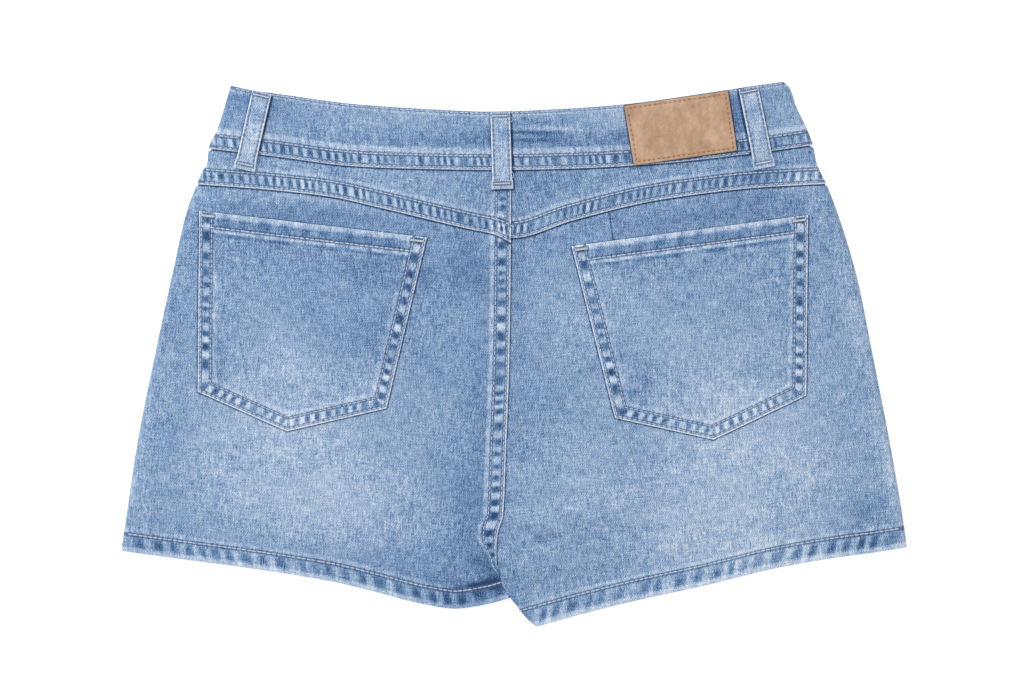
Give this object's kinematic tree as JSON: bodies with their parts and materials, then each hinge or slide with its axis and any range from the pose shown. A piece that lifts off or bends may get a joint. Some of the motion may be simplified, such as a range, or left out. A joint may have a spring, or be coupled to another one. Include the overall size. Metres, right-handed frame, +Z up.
{
  "type": "denim skort",
  "caption": "Short denim skort laid flat with its back up: pointed yoke, patch pockets, belt loops, bare leather patch and turned hems, with a skirt panel over the hidden front.",
  "frame": {"origin": "on the surface that the skort lies on, under the middle of its box", "axes": "+X across the skort from the wearer's left to right, +Y from the legs to the waist, +Z up, out of the skort's back"},
  "size_m": [0.5192, 0.3598, 0.0094],
  "materials": {
    "denim": "washed light blue twill, matt",
    "loop_denim": "paler worn blue twill, matt",
    "leather": "tan, lightly mottled, low sheen",
    "button": "dull antique"
  },
  "bodies": {
    "root": {"skirt_panel": "denim", "front_left": "denim", "front_right": "denim", "waistband_front_left": "denim", "waistband_front_right": "denim", "waist_button": "button", "back_left": "denim", "back_right": "denim", "yoke_left": "denim", "yoke_right": "denim", "waistband_back": "denim", "pocket_left": "denim", "pocket_right": "denim", "belt_loop_left": "loop_denim", "belt_loop_centre": "loop_denim", "belt_loop_right": "loop_denim", "leather_patch": "leather"}
  },
  "joints": []
}
